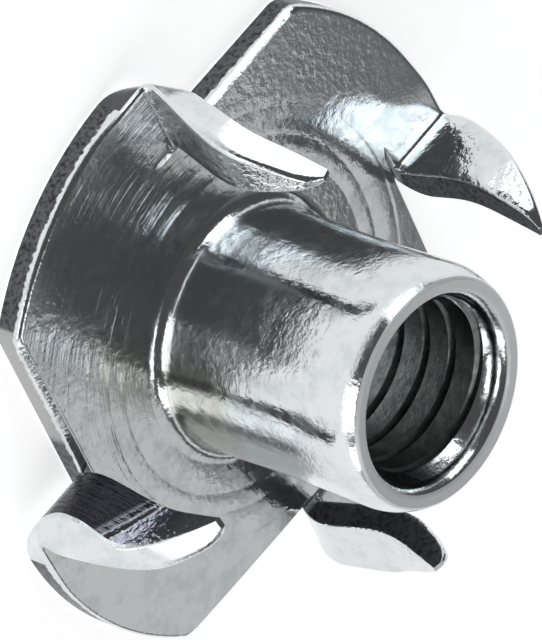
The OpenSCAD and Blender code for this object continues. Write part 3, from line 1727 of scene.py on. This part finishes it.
@dataclass
class SoftBox:
    """One soft lamp, by where it hangs about the nut, in degrees and metres.

    Attributes:
        name: The lamp's name.
        azimuth: The middle of the lamp, from +X toward +Y.
        elevation: The middle of the lamp, up from the floor.
        half_width: Half of the angle that it fills sideways.
        half_height: Half of the angle that it fills upward.
        glow: How bright its face looks, where 1 is white.
        tint: Colour of its light.
        distance: How far away it hangs.
    """

    name: str
    azimuth: float
    elevation: float
    half_width: float
    half_height: float
    glow: float
    tint: Colour = (1.0, 1.0, 1.0)
    distance: float = 0.3

    def build(self) -> bpy.types.Object:
        """Hang the lamp and turn it to the nut.

        Returns:
            The lamp.
        """
        out = direction(self.azimuth, self.elevation)
        data = bpy.data.lights.new(self.name, "AREA")
        data.shape = "RECTANGLE"
        data.size = 2 * self.distance * math.tan(math.radians(self.half_width))
        data.size_y = 2 * self.distance * math.tan(math.radians(self.half_height))
        data.color = self.tint
        data.energy = self.glow * data.size * data.size_y * math.pi
        lamp = bpy.data.objects.new(self.name, data)
        lamp.location = out * self.distance
        lamp.rotation_euler = out.to_track_quat("Z", "Y").to_euler()
        lamp.visible_camera = False
        bpy.context.collection.objects.link(lamp)
        return lamp


@dataclass
class Studio:
    """The pale floor, the room round it and the soft lamps.

    Attributes:
        floor_size: Side of the floor, in metres.
        floor_gap: How far the floor lies below the nut, so that the two don't blend.
        floor_colour: How pale the floor is.
        floor_glow: How much the floor lights up for what looks at it.
        floor_roughness: How matt it is.
        floor_shine: How much it mirrors at all.
        wall: How pale the room's low wall is.
        ceiling: How pale the ceiling is.
        wall_top: Heights between which the wall fades into the ceiling, where 1 is overhead.
        lamps: The soft lamps.
    """

    floor_size: float = 4.0
    floor_gap: float = 0.00002
    floor_colour: float = 0.8
    floor_glow: float = 0.7
    floor_roughness: float = 0.9
    floor_shine: float = 0.2
    wall: float = 0.8
    ceiling: float = 0.08
    wall_top: tuple[float, float] = (0.06, 0.14)
    lamps: tuple[SoftBox, ...] = (
        SoftBox("key", 56, 18, 18, 16, 2.2, (0.93, 0.97, 1.0)),
        SoftBox("near", 158, 12, 20, 11, 2.1),
        SoftBox("side", 203, 24, 12, 20, 1.7),
        SoftBox("fill", 267.5, 38, 30, 18, 0.55),
        SoftBox("back", 321, 42, 12, 14, 0.08),
        SoftBox("top", 240, 72, 12, 10, 2.0),
    )

    def floor(self) -> bpy.types.Object:
        """Lay the floor, which looks as pale in the metal as it does beside it.

        Returns:
            The floor.
        """
        bpy.ops.object.select_all(action="DESELECT")
        bpy.ops.mesh.primitive_plane_add(size=self.floor_size, location=(0, 0, -self.floor_gap))
        floor = bpy.context.object
        floor.name = "floor"
        material = bpy.data.materials.new("pale_floor")
        material.use_nodes = True
        tree = Tree(material.node_tree)
        shader = material.node_tree.nodes["Principled BSDF"]
        path = tree.add("ShaderNodeLightPath").outputs
        seen = tree.math("MAXIMUM", path["Is Camera Ray"], path["Is Glossy Ray"])
        seen = tree.math("MAXIMUM", seen, path["Is Transmission Ray"])
        entries = {
            "Base Color": (self.floor_colour,) * 3 + (1,),
            "Roughness": self.floor_roughness,
            "Specular IOR Level": self.floor_shine,
            "Emission Color": (1, 1, 1, 1),
            "Emission Strength": tree.math("MULTIPLY", seen, self.floor_glow),
        }
        for name, value in entries.items():
            tree.feed(shader.inputs[name], value)
        floor.data.materials.append(material)
        return floor

    def room(self) -> None:
        """Give the room a low pale wall all round, under a dark ceiling."""
        world = bpy.data.worlds.new("room")
        world.use_nodes = True
        tree = Tree(world.node_tree)
        up = tree.split(tree.add("ShaderNodeTexCoord").outputs["Generated"])[2]
        ceiling_share = tree.span(up, *self.wall_top)
        ends = ((self.wall,) * 3 + (1,), (self.ceiling,) * 3 + (1,))
        grey = tree.mix(ceiling_share, *ends)
        tree.feed(world.node_tree.nodes["Background"].inputs["Color"], grey)
        bpy.context.scene.world = world

    def build(self) -> None:
        """Set up the whole studio."""
        self.room()
        self.floor()
        for lamp in self.lamps:
            lamp.build()


def main() -> None:
    """Build the camera, the nut and the studio, in that order."""
    logging.basicConfig(level=logging.INFO, format="%(name)s: %(message)s", force=True)
    bpy.context.scene.view_settings.view_transform = "Standard"
    Camera().build()
    nut = TeeNut().build()
    LOG.info("%s: %d faces", nut.name, len(nut.data.polygons))
    Studio().build()


if __name__ == "__main__":
    main()
